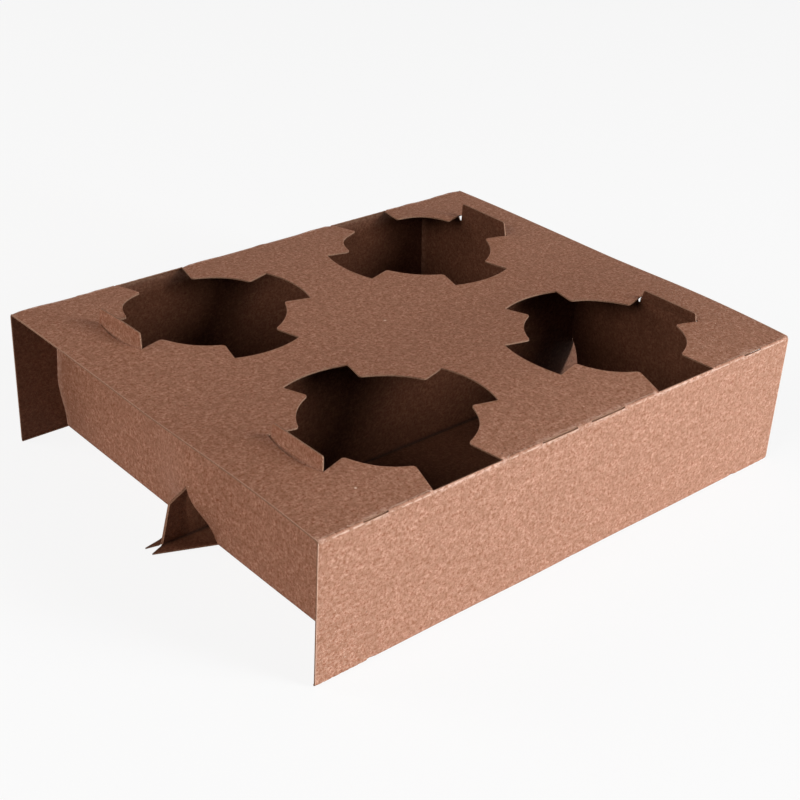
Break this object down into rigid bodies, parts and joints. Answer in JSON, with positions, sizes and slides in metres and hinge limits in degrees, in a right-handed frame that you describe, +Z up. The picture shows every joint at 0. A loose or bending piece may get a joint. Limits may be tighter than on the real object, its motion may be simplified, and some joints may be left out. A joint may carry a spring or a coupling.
{
  "type": "cardboard cup carrier",
  "caption": "Folded kraft board cup carrier: a shallow tray whose top has tabbed round openings, with overhanging ends, leaning end walls, locking tongues and a central keel.",
  "frame": {"origin": "centre of the base, on the surface that the carrier stands on", "axes": "+X along the long walls, +Y across the tray from the front wall to the rear wall, +Z up out of the cup openings"},
  "size_m": [0.234, 0.188, 0.0625],
  "materials": {
    "kraft_board": "uncoated brown kraft board, matt, with fine fibre speckle and paler cut edges"
  },
  "bodies": {
    "root": {"carrier_board": "kraft_board"}
  },
  "joints": []
}
